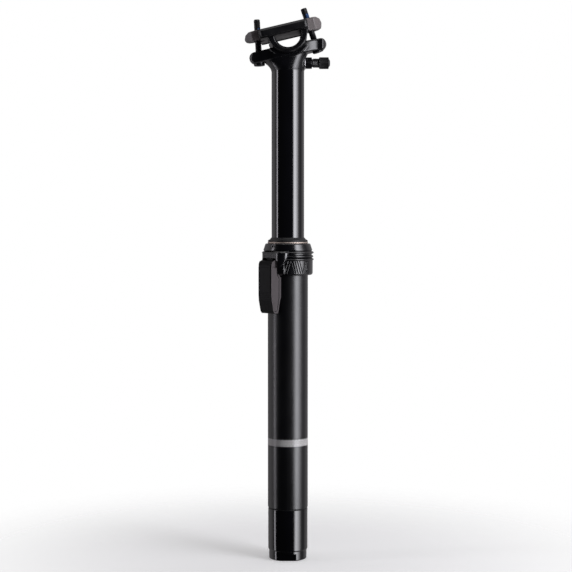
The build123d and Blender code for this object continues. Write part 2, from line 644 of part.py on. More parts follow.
BOLT_PIECES = {"clamp_bolt": bolt, "bolt_washer": half_washer, "barrel_nut": barrel_nut}


def main():
    os.makedirs("parts", exist_ok=True)
    made = {name: make() for name, make in PIECES.items()}
    for end, (seat, nut) in BOLTS.items():
        for name, make in BOLT_PIECES.items():
            made[f"{end}_{name}"] = make(seat, nut)
    for name, shape in made.items():
        if isinstance(shape, list):
            shape = Compound(children=shape)
        export_step(shape, f"parts/{name}.step")


main()
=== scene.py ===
import json
from math import asin, atan2, ceil, cos, degrees, pi, radians, sin, sqrt

import bmesh
import bpy
import numpy as np
from mathutils import Matrix, Vector


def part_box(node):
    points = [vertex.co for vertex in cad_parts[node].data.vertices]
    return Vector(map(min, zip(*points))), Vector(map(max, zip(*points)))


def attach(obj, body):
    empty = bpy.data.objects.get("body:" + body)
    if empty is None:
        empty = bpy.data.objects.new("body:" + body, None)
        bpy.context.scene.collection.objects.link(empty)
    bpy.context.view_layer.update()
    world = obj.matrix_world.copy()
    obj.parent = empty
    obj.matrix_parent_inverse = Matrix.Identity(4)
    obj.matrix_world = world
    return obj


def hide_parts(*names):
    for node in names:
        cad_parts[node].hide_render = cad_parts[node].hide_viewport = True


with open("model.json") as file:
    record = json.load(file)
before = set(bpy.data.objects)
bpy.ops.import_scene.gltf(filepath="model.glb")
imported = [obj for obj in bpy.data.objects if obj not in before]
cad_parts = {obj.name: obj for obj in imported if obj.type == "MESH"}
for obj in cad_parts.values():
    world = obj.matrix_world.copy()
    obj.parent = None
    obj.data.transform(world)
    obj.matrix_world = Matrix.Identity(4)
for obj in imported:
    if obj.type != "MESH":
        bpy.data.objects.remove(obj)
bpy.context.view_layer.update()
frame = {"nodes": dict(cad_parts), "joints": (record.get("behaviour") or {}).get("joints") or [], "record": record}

MM = 0.001
FULL_TURN = 2 * pi


def box_mm(node):
    """Lowest and highest corner of a CAD node, in millimetres."""
    low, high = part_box(node)
    return Vector(low) / MM, Vector(high) / MM


def joint_place(name):
    """Where a hinge of the frame stands, in millimetres."""
    joint = next(j for j in frame["joints"] if j["name"] == name)
    return Vector(joint["pos_m"]) / MM


# ---------------------------------------------------------------- sizes read from the frame
TUBE_LOW, TUBE_HIGH = box_mm("outer_tube")
CAP_HIGH = box_mm("bottom_cap")[1]
COLLAR_LOW, COLLAR_HIGH = box_mm("collar")
STANCHION_LOW = box_mm("stanchion")[0]
SEAM_LOW, SEAM_HIGH = box_mm("seam_ring")
RING_LOW, RING_HIGH = box_mm("wiper_ring")
WIPER_LOW, WIPER_HIGH = box_mm("wiper_seal")
BUSH_HIGH = box_mm("lower_bush")[1]
VALVE_LOW, VALVE_HIGH = box_mm("valve_body")
VALVE_CAP_LOW, VALVE_CAP_HIGH = box_mm("valve_cap")
SEAT_RING_LOW, SEAT_RING_HIGH = box_mm("valve_seat_ring")
LEVER_PIN = joint_place("lever_pull")
LEVER_AZIMUTH = degrees(atan2(LEVER_PIN.y, LEVER_PIN.x))
FRONT_SEAT, FRONT_NUT = joint_place("front_bolt_lean"), joint_place("front_nut_turn")
REAR_SEAT, REAR_NUT = joint_place("rear_bolt_lean"), joint_place("rear_nut_turn")

RUN = 0.03                    # radial running clearance of bushes and seals
TUBE_R = TUBE_HIGH.y
TUBE_BORE_R = BUSH_HIGH.y + RUN
THREAD_R = TUBE_R - 0.5       # the tube's end inside the collar
THREAD_H = TUBE_HIGH.z - COLLAR_LOW.z - 1.5
SPIGOT_R = 14.0               # the cap's end inside the tube, which the seam ring sits on
KEY_AZIMUTHS = (45, 165, 285)
KEY_AXIS_R, KEY_GROOVE_R = 12.85, 1.3
PUSH_ROD_AXIS_R, PUSH_ROD_CHANNEL_R = 13.9, 0.75
WIPER_R = 15.0                # the wiper's seat in the collar
WIPER_STEP_R = 13.5           # the wiper's waist inside the bright ring
STANCHION_R = 12.5
GROUND_TOP = 376.7            # end of the round polished surface
CLAMP_TILT = atan2(*[frame["record"]["mounts"][1]["axis"][i] for i in (2, 0)])
PLATE_MIDDLE, PLATE_HALF = 89.3, 18.65      # the wings' middle along the tilted rails, and half their length
AIR_CHAMBER_TOP = 362.0
STANCHION_BORE_R = 10.5


# ---------------------------------------------------------------- mesh helpers
def rounded(points, radius, closed=False, steps=4):
    """The outline with its corners cut back by radius and rounded; a third value on a point overrides it."""
    result = []
    count = len(points)
    for i, point in enumerate(points):
        cut = point[2] if len(point) > 2 else radius
        here = Vector(point[:2])
        if cut == 0 or (not closed and i in (0, count - 1)):
            result.append(tuple(here))
            continue
        before = Vector(points[i - 1][:2]) - here
        after = Vector(points[(i + 1) % count][:2]) - here
        start = here + before.normalized() * min(cut, before.length * 0.48)
        end = here + after.normalized() * min(cut, after.length * 0.48)
        for k in range(steps + 1):
            t = k / steps
            result.append(tuple(start * (1 - t) ** 2 + here * 2 * t * (1 - t) + end * t ** 2))
    return result


def skin(rows, ring=False):
    """Points and faces through closed rows of equal length. A ring joins its last row to its first."""
    count = len(rows[0])
    points = [point for row in rows for point in row]
    faces = []
    for r in range(len(rows) if ring else len(rows) - 1):
        below, above = r * count, (r + 1) % len(rows) * count
        for i in range(count):
            j = (i + 1) % count
            faces.append((below + i, below + j, above + j, above + i))
    if not ring:
        faces.append(tuple(reversed(range(count))))
        faces.append(tuple(range(len(points) - count, len(points))))
    return points, faces


def even_turns(sides):
    """As many angles as sides, evenly spread over a full turn."""
    return [FULL_TURN * i / sides for i in range(sides)]


def lathe(profile, sides=144, ring=False):
    """A skin turned about the Z axis from a (radius, z) profile."""
    turns = even_turns(sides)
    rows = [[(r * cos(a), r * sin(a), z) for a in turns] for r, z in profile]
    return skin(rows, ring)


def make_object(name, points, faces, placing=None):
    """A mesh object in metres from points in millimetres, with its faces turned outwards."""
    mesh = bpy.data.meshes.new(name)
    mesh.from_pydata([tuple(c * MM for c in point) for point in points], [], faces)
    work = bmesh.new()
    work.from_mesh(mesh)
    if placing is not None:
        placing = placing.copy()
        placing.translation *= MM
        bmesh.ops.transform(work, matrix=placing, verts=work.verts)
    bmesh.ops.recalc_face_normals(work, faces=work.faces)
    work.to_mesh(mesh)
    work.free()
    item = bpy.data.objects.new(name, mesh)
    bpy.context.scene.collection.objects.link(item)
    return item


def apply_modifiers(item):
    """Keeps the modifiers' result as the object's mesh."""
    graph = bpy.context.evaluated_depsgraph_get()
    item.data = bpy.data.meshes.new_from_object(item.evaluated_get(graph))
    item.modifiers.clear()


def carve(item, cutters, operation="DIFFERENCE"):
    """Cuts each cutter out of the object, or adds it, and removes the cutters."""
    for cutter in cutters:
        step = item.modifiers.new("carve", "BOOLEAN")
        step.operation = operation
        step.solver = "EXACT"
        step.object = cutter
        apply_modifiers(item)
        bpy.data.objects.remove(cutter)


def soften(item, voxel, rounds):
    """Rebuilds the object's skin with small even faces and rounds its edges."""
    remesh = item.modifiers.new("remesh", "REMESH")
    remesh.mode = "VOXEL"
    remesh.voxel_size = voxel * MM
    relax = item.modifiers.new("relax", "SMOOTH")
    relax.factor = 0.5
    relax.iterations = rounds
    apply_modifiers(item)


def cad_copy(node, name, above=None):
    """A new object with the shape of a CAD node, or of the part of it above a height."""
    work = bmesh.new()
    work.from_mesh(frame["nodes"][node].data)
    bmesh.ops.remove_doubles(work, verts=work.verts, dist=1e-6)
    if above is not None:
        everything = work.verts[:] + work.edges[:] + work.faces[:]
        cut = bmesh.ops.bisect_plane(
            work, geom=everything, plane_co=(0, 0, above * MM), plane_no=(0, 0, 1), clear_inner=True)
        rim = [e for e in cut["geom_cut"] if isinstance(e, bmesh.types.BMEdge)]
        bmesh.ops.triangle_fill(work, edges=rim, use_beauty=True)
    mesh = bpy.data.meshes.new(name)
    work.to_mesh(mesh)
    work.free()
    item = bpy.data.objects.new(name, mesh)
    bpy.context.scene.collection.objects.link(item)
    return item


def finish_piece(item, body, material, replaced, crease=32):
    """Smooth shading with creases, the material, and the piece's place in the frame."""
    mesh = item.data
    mesh.materials.clear()
    mesh.materials.append(material)
    mesh.polygons.foreach_set("material_index", [0] * len(mesh.polygons))
    mesh.shade_smooth()
    mesh.set_sharp_from_angle(angle=radians(crease))
    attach(item, body)
    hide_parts(*replaced)
    return item


def block(name, low, high, placing=None):
    """A plain box, used only as a cutter or to be joined to a piece."""
    (x0, y0, z0), (x1, y1, z1) = low, high
    rows = [[(x0, y0, z), (x1, y0, z), (x1, y1, z), (x0, y1, z)] for z in (z0, z1)]
    points, faces = skin(rows)
    return make_object(name, points, faces, placing)


def rod(name, radius, bottom, top, placing=None, sides=32):
    """A plain cylinder along Z, used only as a cutter."""
    points, faces = lathe([(radius, bottom), (radius, top)], sides)
    return make_object(name, points, faces, placing)


def facing(azimuth):
    """A frame whose +X points away from the tube axis at that azimuth."""
    return Matrix.Rotation(radians(azimuth), 4, "Z")


LEVER_FRAME = facing(LEVER_AZIMUTH)
FACE_TO_REAR = Matrix.Rotation(radians(90), 4, "Y")     # turns +Z to +X


# ---------------------------------------------------------------- materials
class Shader:
    """A node material on the object's own coordinates, with short calls for the nodes used here."""

    def __init__(self, name):
        self.material = bpy.data.materials.new(name)
        self.material.use_nodes = True
        self.tree = self.material.node_tree
        self.surface = self.tree.nodes["Principled BSDF"]
        self.place = self.tree.nodes.new("ShaderNodeTexCoord").outputs["Object"]

    def feed(self, socket, value):
        """Links a node's output to the socket, or sets the socket to a plain value."""
        if isinstance(value, bpy.types.NodeSocket):
            self.tree.links.new(value, socket)
        else:
            socket.default_value = value

    def set(self, **values):
        """Sets inputs of the surface shader; an underscore in a name stands for a space."""
        for key, value in values.items():
            self.feed(self.surface.inputs[key.replace("_", " ")], value)
        return self

    def math(self, operation, first, second=0.0, third=0.0):
        """The output of a math node."""
        node = self.tree.nodes.new("ShaderNodeMath")
        node.operation = operation
        for socket, value in zip(node.inputs, (first, second, third)):
            self.feed(socket, value)
        return node.outputs[0]

    def axes(self):
        """The x, y and z sockets, in millimetres."""
        scale = self.tree.nodes.new("ShaderNodeVectorMath")
        scale.operation = "SCALE"
        self.feed(scale.inputs[0], self.place)
        scale.inputs["Scale"].default_value = 1 / MM
        split = self.tree.nodes.new("ShaderNodeSeparateXYZ")
        self.feed(split.inputs[0], scale.outputs[0])
        return split.outputs[0], split.outputs[1], split.outputs[2]

    def noise(self, size, detail=2.0, stretch=(1, 1, 1)):
        """Noise with features of about size millimetres, stretched along the axes."""
        mapping = self.tree.nodes.new("ShaderNodeMapping")
        self.feed(mapping.inputs["Vector"], self.place)
        mapping.inputs["Scale"].default_value = [1 / (size * MM * s) for s in stretch]
        texture = self.tree.nodes.new("ShaderNodeTexNoise")
        self.feed(texture.inputs["Vector"], mapping.outputs[0])
        texture.inputs["Scale"].default_value = 1.0
        texture.inputs["Detail"].default_value = detail
        return texture.outputs["Fac"]

    def span(self, value, low, high, to_low=0.0, to_high=1.0):
        """The value carried from one range to another, and held at the ends."""
        node = self.tree.nodes.new("ShaderNodeMapRange")
        self.feed(node.inputs["Value"], value)
        for key, number in (("From Min", low), ("From Max", high), ("To Min", to_low), ("To Max", to_high)):
            self.feed(node.inputs[key], number)
        return node.outputs[0]

    def mix(self, share, low, high):
        """A colour between two colours."""
        node = self.tree.nodes.new("ShaderNodeMix")
        node.data_type = "RGBA"
        self.feed(node.inputs[0], share)
        for socket, colour in ((node.inputs[6], low), (node.inputs[7], high)):
            self.feed(socket, colour if isinstance(colour, bpy.types.NodeSocket) else (*colour, 1))
        return node.outputs[2]

    def edges(self, low=0.53, high=0.62):
        """How near the point is to a convex edge, from 0 to 1."""
        geometry = self.tree.nodes.new("ShaderNodeNewGeometry")
        return self.span(geometry.outputs["Pointiness"], low, high)

    def bump(self, height, depth, strength=1.0):
        """Relief of depth millimetres."""
        node = self.tree.nodes.new("ShaderNodeBump")
        node.inputs["Distance"].default_value = depth * MM
        node.inputs["Strength"].default_value = strength
        self.feed(node.inputs["Height"], height)
        self.feed(self.surface.inputs["Normal"], node.outputs[0])
        return self


def coated_black(name, colour, roughness, ior=1.5, grain=0.35, relief=0.004, cloud=9.0, wear=0.15):
    """Black anodised or painted metal: cloudy gloss, a fine grain and slightly paler edges."""
    s = Shader(name)
    low, high = roughness
    clouds = s.noise(cloud, 3.0, (1, 1, 2.2))
    fine = s.noise(grain, 2.0)
    worn = s.math("MULTIPLY", s.edges(), wear)
    paler = tuple(min(1.0, c * 2.6 + 0.03) for c in colour)
    mottled = s.mix(s.span(clouds, 0.35, 0.7), colour, tuple(c * 1.5 for c in colour))
    s.set(Base_Color=s.mix(worn, mottled, paler), Roughness=s.span(clouds, 0.3, 0.7, low, high), IOR=ior)
    return s.bump(fine, relief)


def tube_material():
    """Matte anodised tube with a silver etched hatch round it at the least insertion depth."""
    s = coated_black(
        "matte_anodised", (0.0012, 0.0012, 0.002), (0.29, 0.33), ior=1.72, grain=0.22, relief=0.003)
    band_low, band_high, edge = 88.4, 93.9, 0.12
    count, pitch_up, line = 36, 2.75, 0.165
    x, y, z = s.axes()
    around = s.math("MULTIPLY", s.math("ARCTAN2", y, x), count / FULL_TURN)
    up = s.math("DIVIDE", z, pitch_up)
    hatch = None
    for slant in ("ADD", "SUBTRACT"):
        place = s.math("FRACT", s.math(slant, around, up))
        far = s.math("ABSOLUTE", s.math("SUBTRACT", place, 0.5))
        stripe = s.span(far, line - 0.04, line + 0.04, 1.0, 0.0)
        hatch = stripe if hatch is None else s.math("MAXIMUM", hatch, stripe)
    rising = s.span(z, band_low, band_low + edge)
    falling = s.span(z, band_high - edge, band_high, 1.0, 0.0)
    etched = s.math("MULTIPLY", hatch, s.math("MULTIPLY", rising, falling))
    grit = s.span(s.noise(0.5, 3.0), 0.3, 0.7, 0.75, 1.0)
    etched = s.math("MULTIPLY", etched, grit)
    black = s.surface.inputs["Base Color"].links[0].from_socket
    rough = s.surface.inputs["Roughness"].links[0].from_socket
    s.set(Base_Color=s.mix(etched, black, (0.9, 0.88, 0.87)))
    s.set(Roughness=s.math("MULTIPLY_ADD", etched, 0.12, rough))
    return s.material


def plate_material():
    """The clamp plate: black wings with fine brushed lines, and a grey base on the lugs beyond them: painted
    light, standing in for the light the lugs' ends catch from the side walls.
    """
    s = Shader("satin_clamp_painted_lug_light")
    lines = s.noise(0.35, 3.0, (6, 1, 1))
    # painted light: the grey base colour of the lugs, streaked by the brushed lines, stands in for the light their
    # ends catch from the side walls
    grey = s.mix(s.span(lines, 0.3, 0.7), (0.125, 0.110, 0.110), (0.185, 0.163, 0.161))
    black = s.mix(s.span(s.noise(5.0), 0.3, 0.7), (0.002, 0.002, 0.003), (0.004, 0.004, 0.005))
    x, _, z = s.axes()
    along = s.math("MULTIPLY_ADD", z, sin(CLAMP_TILT), s.math("MULTIPLY", x, cos(CLAMP_TILT)))
    middle, half = PLATE_MIDDLE, PLATE_HALF
    lug_light_share = s.span(s.math("ABSOLUTE", s.math("SUBTRACT", along, middle)), half + 0.2, half + 0.7)
    s.set(Base_Color=s.mix(lug_light_share, black, grey), IOR=1.55)
    s.set(Roughness=s.span(s.noise(7.0), 0.3, 0.7, 0.32, 0.42))
    return s.bump(lines, 0.006).material


def lever_material():
    """Matte black lever whose two side faces get a greyer base colour: painted light, standing in for the softbox
    light those faces catch.
    """
    s = coated_black(
        "matte_black_lever", (0.002, 0.002, 0.0025), (0.36, 0.44), ior=1.22, relief=0.006, wear=0.25)
    across = s.tree.nodes.new("ShaderNodeVectorMath")
    across.operation = "DOT_PRODUCT"
    coordinates = s.tree.nodes["Texture Coordinate"]
    s.feed(across.inputs[0], coordinates.outputs["Normal"])
    turn = radians(LEVER_AZIMUTH)
    across.inputs[1].default_value = (-sin(turn), cos(turn), 0)
    # painted highlight: the faces square to this direction, the lever's two sides, take a greyer base colour
    side = s.span(s.math("ABSOLUTE", across.outputs["Value"]), 0.8, 0.95)
    black = s.surface.inputs["Base Color"].links[0].from_socket
    s.set(Base_Color=s.mix(side, black, (0.088, 0.078, 0.081)))
    return s.material


def bare_metal(name, colour, roughness, lines=(1, 1, 0.12)):
    """Turned or ground metal, with fine marks round the axis."""
    s = Shader(name)
    marks = s.noise(0.5, 3.0, lines)
    base = s.mix(s.span(marks, 0.3, 0.7), tuple(c * 0.86 for c in colour), colour)
    s.set(Base_Color=base, Metallic=1.0, Roughness=s.span(s.noise(3.0), 0.3, 0.7, *roughness))
    return s.bump(marks, 0.004).material


def rubber(name, colour, roughness):
    """Black rubber with a fine grain."""
    s = Shader(name)
    grain = s.noise(0.25, 3.0)
    base = s.mix(s.span(s.noise(2.5, 2.0), 0.3, 0.7), colour, tuple(c * 1.6 for c in colour))
    s.set(Base_Color=base, Roughness=s.span(grain, 0.3, 0.7, *roughness), IOR=1.5)
    return s.bump(grain, 0.01).material


def plastic(name, colour, roughness, grain=0.3):
    """Moulded plastic with a fine spark-eroded texture."""
    s = Shader(name)
    texture = s.noise(grain, 2.0)
    base = s.mix(s.span(s.noise(4.0), 0.3, 0.7), tuple(c * 0.85 for c in colour), colour)
    s.set(Base_Color=base, Roughness=s.span(texture, 0.3, 0.7, *roughness), IOR=1.5)
    return s.bump(texture, 0.012).material


BLACK_OXIDE = {"colour": (0.005, 0.005, 0.006), "roughness": (0.24, 0.34), "ior": 1.6, "grain": 0.2,
               "cloud": 2.5, "wear": 0.3}


def threaded_steel(name, patch_low, patch_high, axis_x, side):
    """Black oxide steel, with a blue locking patch on one side of the thread between two heights."""
    s = coated_black(name, **BLACK_OXIDE)
    x, _, z = s.axes()
    ragged = s.math("MULTIPLY", s.math("SUBTRACT", s.noise(0.9, 2.0), 0.5), 1.6)
    height = s.math("ADD", z, ragged)
    rising = s.span(height, patch_low, patch_low + 0.4)
    falling = s.span(height, patch_high - 0.4, patch_high, 1, 0)
    inside = s.math("MULTIPLY", rising, falling)
    lean = s.math("ADD", s.math("SUBTRACT", x, axis_x), ragged)
    half = s.span(s.math("MULTIPLY", lean, side), -0.4, 0.4)
    patch = s.math("MULTIPLY", inside, half)
    black = s.surface.inputs["Base Color"].links[0].from_socket
    s.set(Base_Color=s.mix(patch, black, (0.012, 0.075, 0.24)))
    return s.material


MATERIALS = {
    "outer_tube_anodised": tube_material(),
    "cap_gloss_black": coated_black(
        "gloss_anodised", (0.0015, 0.0015, 0.0025), (0.12, 0.16), 1.72, relief=0.001).material,
    "collar_satin_black": coated_black(
        "satin_anodised", (0.002, 0.002, 0.003), (0.17, 0.21), 1.8, relief=0.001).material,
    "stanchion_gloss_black": coated_black(
        "hard_anodised", (0.002, 0.002, 0.003), (0.09, 0.12), 1.9,
        grain=0.6, relief=0.0008, cloud=14).material,
    "lever_matte_black": lever_material(),
    "clamp_satin_black": coated_black(
        "satin_black_clamp", (0.003, 0.003, 0.004), (0.24, 0.32), 1.6,
        grain=0.3, relief=0.005, cloud=4, wear=0.3).material,
    "clamp_satin_grey": plate_material(),
    "black_steel": coated_black("black_oxide_steel", **BLACK_OXIDE).material,
    "valve_black": coated_black(
        "black_valve", (0.004, 0.004, 0.005), (0.22, 0.30), 1.6, cloud=3, wear=0.3).material,
    "cap_plastic": plastic("black_cap_plastic", (0.012, 0.012, 0.013), (0.38, 0.5)),
    "rubber": rubber("seal_rubber", (0.008, 0.008, 0.009), (0.35, 0.5)),
    "brass_ring": bare_metal("satin_brass", (0.72, 0.62, 0.55), (0.5, 0.6)),
    "bush_plastic": plastic("bush_polymer", (0.42, 0.39, 0.33), (0.4, 0.5)),
    "bare_aluminium": bare_metal("turned_aluminium", (0.76, 0.76, 0.78), (0.22, 0.32)),
    "bare_steel": bare_metal("ground_steel", (0.55, 0.55, 0.57), (0.2, 0.3)),
    "spring_steel": bare_metal("drawn_wire", (0.42, 0.42, 0.44), (0.25, 0.35), (1, 1, 1)),
    "chromed_steel": bare_metal("hard_chrome", (0.72, 0.72, 0.74), (0.06, 0.1), (1, 1, 3)),
}
FORGED_HEAD = coated_black(
    "forged_head_black", (0.002, 0.002, 0.003), (0.20, 0.27), 1.65,
    grain=0.3, relief=0.003, cloud=5, wear=0.2).material
FRONT_BOLT_STEEL = threaded_steel("front_bolt_steel", 405.5, 408.5, FRONT_NUT.x, 1)
REAR_BOLT_STEEL = threaded_steel("rear_bolt_steel", 414.5, 419.5, REAR_NUT.x - 2.4, 1)


def paint_cad_nodes():
    """Every CAD node that stays takes the material of its slot."""
    for part in frame["record"]["subparts"]:
        mesh = frame["nodes"][part["node"]].data
        mesh.materials.clear()
        mesh.materials.append(MATERIALS[part["material_slot"]])


# ---------------------------------------------------------------- fixed outer assembly
def outer_tube():
    """The tube, with its push-rod channel and key grooves inside."""
    low, high = TUBE_LOW.z, TUBE_HIGH.z
    profile = rounded([
        (TUBE_BORE_R, low), (TUBE_R, low, 0.5), (TUBE_R, high - THREAD_H), (THREAD_R, high - THREAD_H),
        (THREAD_R, high), (TUBE_BORE_R, high)], 0.15, closed=True, steps=3)
    points, faces = lathe(profile, 180, ring=True)
    item = make_object("outer_tube_shell", points, faces)
    channel = LEVER_FRAME @ Matrix.Translation((PUSH_ROD_AXIS_R, 0, 0))
    cutters = [rod("push_rod_channel", PUSH_ROD_CHANNEL_R, low - 2, high + 2, channel, 16)]
    groove_bottom = 55
    for azimuth in KEY_AZIMUTHS:
        groove = facing(azimuth) @ Matrix.Translation((KEY_AXIS_R, 0, 0))
        cutters.append(rod("key_groove", KEY_GROOVE_R, groove_bottom, high + 2, groove, 20))
    carve(item, cutters)
    finish_piece(item, "outer", MATERIALS["outer_tube_anodised"], ["outer_tube"])


def bottom_cap():
    """The glossy cap with a stepped foot and two wrench flats."""
    foot_r, foot_h, cap_r = 14.5, 7.1, CAP_HIGH.y
    flat_half, flat_h = 13.0, 5.3
    seam, cavity_r, floor = SEAM_LOW.z, 11.5, 9.0
    corner = degrees(asin(flat_half / foot_r))
    flat_ends = {corner, 180 - corner, 180 + corner, 360 - corner}
    angles = sorted(set(range(0, 360, 2)) | flat_ends)
    profile = rounded([
        (foot_r - 0.9, 0), (foot_r, 0, 0.9), (foot_r, flat_h - 0.12, 0), (foot_r, flat_h, 0),
        (foot_r, foot_h, 0.25), (cap_r - 0.35, foot_h, 0.2), (cap_r, foot_h + 0.6, 0.4),
        (cap_r, seam, 0.45), (SPIGOT_R, seam), (SPIGOT_R, CAP_HIGH.z), (cavity_r, CAP_HIGH.z),
        (cavity_r, floor)], 0.15, steps=4)
    rows = []
    for radius, z in profile:
        row = []
        for angle in angles:
            reach = radius
            if z < flat_h - 0.05 and radius > cavity_r:
                reach = min(radius, flat_half / max(abs(sin(radians(angle))), 0.01))
            row.append((reach * cos(radians(angle)), reach * sin(radians(angle)), z))
        rows.append(row)
    points, faces = skin(rows)
    item = make_object("bottom_cap_shell", points, faces)
    # two ears for the rocker's pin, and a channel for the rocker's outer end and the push rod
    ear_middle, ear_half, ear_top = 3.2, 1.2, 23
    for side in (-1, 1):
        inner, outer = side * ear_middle - ear_half, side * ear_middle + ear_half
        ear = block("pin_ear", (6.8, inner, floor - 0.5), (11.9, outer, ear_top), LEVER_FRAME)
        carve(item, [ear], "UNION")
    carve(item, [block("rod_channel", (7.2, -1.8, 16.6), (14.75, 1.8, CAP_HIGH.z + 1), LEVER_FRAME)])
    finish_piece(item, "outer", MATERIALS["cap_gloss_black"], ["bottom_cap"])


def lathed(name, profile, body, slot, node, radius=0.2, sides=144, placing=None, crease=32):
    """A closed ring turned from a profile, in place of a CAD node."""
    points, faces = lathe(rounded(profile, radius, closed=True), sides, ring=True)
    item = make_object(name, points, faces, placing)
    return finish_piece(item, body, MATERIALS[slot], [node], crease)


def seals():
    """The rubber ring in the seam, the brass ring and the wiper on top of the collar."""
    low, high, crown = SEAM_LOW.z, SEAM_HIGH.z, 14.95
    lathed("seam_gasket", [
        (SPIGOT_R, low), (crown - 0.2, low), (crown, (low + high) / 2), (crown - 0.2, high),
        (SPIGOT_R, high)], "outer", "rubber", "seam_ring", 0.2)
    low, high, crown = RING_LOW.z, RING_HIGH.z, RING_HIGH.y
    lathed("wiper_band", [
        (WIPER_STEP_R, low), (crown - 0.15, low, 0.3), (crown, (low + high) / 2, 0.5),
        (crown - 0.15, high, 0.3), (WIPER_STEP_R, high)], "outer", "brass_ring", "wiper_ring")
    lip, seat, brim = STANCHION_R + RUN, RING_LOW.z - 0.05, RING_HIGH.z + 0.08
    lathed("wiper_lip", [
        (lip, WIPER_LOW.z), (WIPER_R, WIPER_LOW.z), (WIPER_R, seat), (WIPER_STEP_R, seat),
        (WIPER_STEP_R, brim), (15.3, brim, 0.25), (15.38, brim + 1.1, 0.5), (13.7, brim + 2.0, 0.8),
        (12.85, WIPER_HIGH.z, 0.15), (lip, WIPER_HIGH.z - 0.1)], "outer", "rubber", "wiper_seal", 0.15)


# ---------------------------------------------------------------- collar
SKIRT_R = 19.15
RIBS = ((236.8, 19.95), (233.9, 19.6), (231.6, 19.95))     # height and radius of each rib
RIB_HALF = 1.15               # half of a rib's height
VALLEY_R = 18.35              # bottom of the valleys between the ribs
ZIGZAG_PERIOD = 54.0          # degrees round the skirt
ZIGZAG_ZONES = (20.0, 140.0, 260.0)  # middles of the gripping zones, from the camera side
ZONE_HALF = 30.0
STRIPE = 2.1                  # pitch of the stripes
STRIPE_DEPTH = 0.5
ZIGZAG_LEAN = 3.0             # how far a stripe leans over the skirt's height
HOOD_FLAT = 20.4              # distance of the hood's flat face from the axis
HOOD_TOP = 238.3


def smooth_step(value, low, high):
    """0 below low, 1 above high and an even S-curve between them; works on arrays."""
    t = np.clip((value - low) / (high - low), 0, 1)
    return t * t * (3 - 2 * t)


def collar_base(z):
    """Radius of the collar without ribs, hood and pattern."""
    low, high = COLLAR_LOW.z, COLLAR_HIGH.z
    outline = rounded([
        (low, SKIRT_R - 1.2), (low + 0.5, SKIRT_R - 0.35), (low + 1.4, SKIRT_R),
        (low + 10.9, SKIRT_R + 0.05, 0.3), (low + 11.3, VALLEY_R, 0.2), (high - 5.5, VALLEY_R, 0.2),
        (high - 5.0, 18.85, 0.3), (high - 0.45, 17.35, 0.3), (high, 16.85)], 0.4)
    heights, radii = zip(*outline)
    return np.interp(z, heights, radii)


def hood_section(turn):
    """Radius of the hood's outside at a turn in degrees from the lever: a flat with two rounded ends."""
    left, right, left_r, right_r = -4.8, 8.0, 6.0, 6.5
    points = []
    for k in range(13):
        a = radians(-90 + 7.5 * k)
        points.append((HOOD_FLAT - left_r * (1 - cos(a)), left + left_r * sin(a)))
    for k in range(13):
        a = radians(7.5 * k)
        points.append((HOOD_FLAT - right_r * (1 - cos(a)), right + right_r * sin(a)))
    turns = [degrees(atan2(v, u)) for u, v in points]
    radii = [sqrt(u * u + v * v) for u, v in points]
    dense = np.linspace(left, right, 40)
    turns += list(np.degrees(np.arctan2(dense, HOOD_FLAT)))
    radii += list(np.hypot(dense, HOOD_FLAT))
    order = np.argsort(turns)
    return np.interp(turn, np.array(turns)[order], np.array(radii)[order])


def hood(turn, z):
    """Radius and share of the hood over the lever's hub, whose right end sweeps down beside the lever."""
    top = HOOD_TOP
    edge = np.interp(z, [225.4, 226.6, 229.6, 233.7, top], [20.0, 30.4, 37.8, 43.2, 45.4])
    share = 1 - smooth_step(turn, edge - 0.6, edge + 1.6)
    share *= smooth_step(turn, -52, -44)
    share *= 1 - smooth_step(z, top - 0.35, top + 0.15)
    share *= smooth_step(z, 224.9, 225.7)
    bevel = 1.7 * np.clip((z - (top - 1.9)) / 1.9, 0, 1) ** 1.5
    return hood_section(turn) - bevel, share


def zigzag(azimuth, z):
    """Depth of the gripping pattern on the skirt: leaning stripes with smooth triangles between them."""
    low, high = COLLAR_LOW.z + 1.3, COLLAR_LOW.z + 11.3
    up = (z - low) / (high - low)
    depth = np.zeros(np.broadcast(azimuth, z).shape)
    for middle in ZIGZAG_ZONES:
        away = (azimuth - middle + 180) % 360 - 180
        inside = smooth_step(ZONE_HALF - np.abs(away), 0, 1.5)
        arc = (away + 11.3) / 180 * pi * SKIRT_R
        period = ZIGZAG_PERIOD / 180 * pi * SKIRT_R
        place = np.abs((arc + period / 2) % period - period / 2)
        shifted = place - ZIGZAG_LEAN * (1 - up)
        phase = shifted / STRIPE
        in_stripes = smooth_step(shifted, -0.3, 0.0) * smooth_step(3 * STRIPE - shifted, -0.3, 0.0)
        off = np.abs(phase - np.round(phase))
        groove = 1 - smooth_step(off, 0.06, 0.30)
        depth = np.maximum(depth, inside * in_stripes * groove * STRIPE_DEPTH)
    return depth * smooth_step(up, 0, 0.04) * (1 - smooth_step(up, 0.96, 1.0))


def from_camera_side(turn):
    """Degrees from the camera side, for a turn in degrees from the lever."""
    return turn + LEVER_AZIMUTH % 360 - 270


def collar_radius(turn, z):
    """Outer radius of the collar at a turn in degrees from the lever and a height."""
    radius = collar_base(z) * np.ones_like(turn)
    for height, crest in RIBS:
        rise = np.clip(1 - np.abs(z - height) / RIB_HALF, 0, 1)
        ridge = VALLEY_R + (crest - VALLEY_R) * np.sin(rise * pi / 2) ** 0.8
        radius = np.where(rise > 0, np.maximum(radius, ridge), radius)
    # a raised frame round the lever's recess
    raised = 1 - smooth_step(np.abs(turn), 35.8, 38.6)
    raised *= smooth_step(z, COLLAR_LOW.z + 0.2, COLLAR_LOW.z + 1.6) * (1 - smooth_step(z, 227.2, 228.6))
    radius = radius + 0.75 * raised
    radius = radius - zigzag(from_camera_side(turn), z)
    hood_r, share = hood(turn, z)
    return radius + (np.maximum(hood_r, radius) - radius) * share


